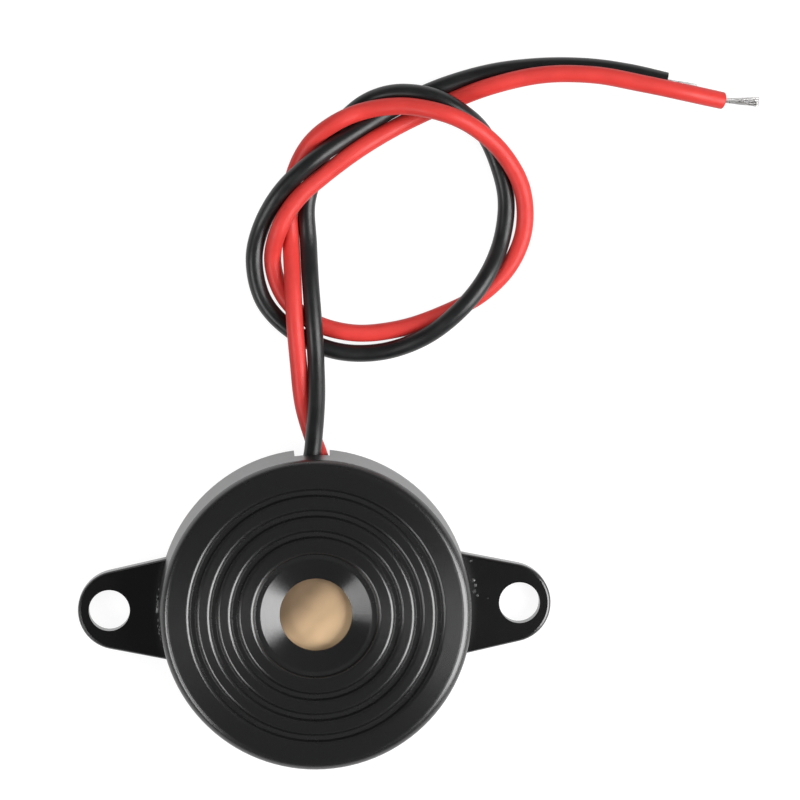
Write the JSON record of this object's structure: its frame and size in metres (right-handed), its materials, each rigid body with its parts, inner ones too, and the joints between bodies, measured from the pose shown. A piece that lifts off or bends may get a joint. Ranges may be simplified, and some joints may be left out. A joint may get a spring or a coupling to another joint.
{
  "type": "piezo buzzer",
  "caption": "Round piezo buzzer with a ringed face, a central sound hole, two mounting ears with screw holes, and a red and a black wire lead.",
  "frame": {"origin": "centre of the housing's back face, in the mounting plane", "axes": "+X through one mounting ear, +Y towards the cable notch, +Z towards the sound hole"},
  "size_m": [0.0672, 0.0683, 0.01],
  "materials": {
    "housing_plastic": "glossy",
    "cover_plastic": "satin",
    "brass_sheet": "satin",
    "piezo_ceramic": "matte",
    "silver_layer": "matte",
    "silicone": "matte",
    "board_laminate": "satin",
    "ferrite": "matte",
    "copper_winding": "glossy",
    "tinned_metal": "satin",
    "chip_black": "matte",
    "yellow_insulation": "satin",
    "hookup_red": "satin",
    "hookup_blue": "satin",
    "solder": "satin",
    "glue": "satin",
    "red_insulation": "satin",
    "black_insulation": "satin",
    "tinned_strands": "satin"
  },
  "bodies": {
    "root": {"housing": "housing_plastic", "rear_cover": "cover_plastic", "brass_plate": "brass_sheet", "ceramic_disc": "piezo_ceramic", "main_electrode": "silver_layer", "feedback_electrode": "silver_layer", "disc_adhesive": "silicone", "circuit_board": "board_laminate", "inductor_core": "ferrite", "inductor_winding": "copper_winding", "inductor_pins": "tinned_metal", "transistor_body": "chip_black", "transistor_leads": "tinned_metal", "resistor_1": "chip_black", "resistor_2": "chip_black", "resistor_3": "chip_black", "resistor_caps": "tinned_metal", "plate_wire": "yellow_insulation", "electrode_wire": "hookup_red", "feedback_wire": "hookup_blue", "board_solder": "solder", "disc_solder": "solder", "lead_glue": "glue", "red_lead": "red_insulation", "black_lead": "black_insulation", "red_strands": "tinned_strands", "black_strands": "tinned_strands"}
  },
  "joints": []
}
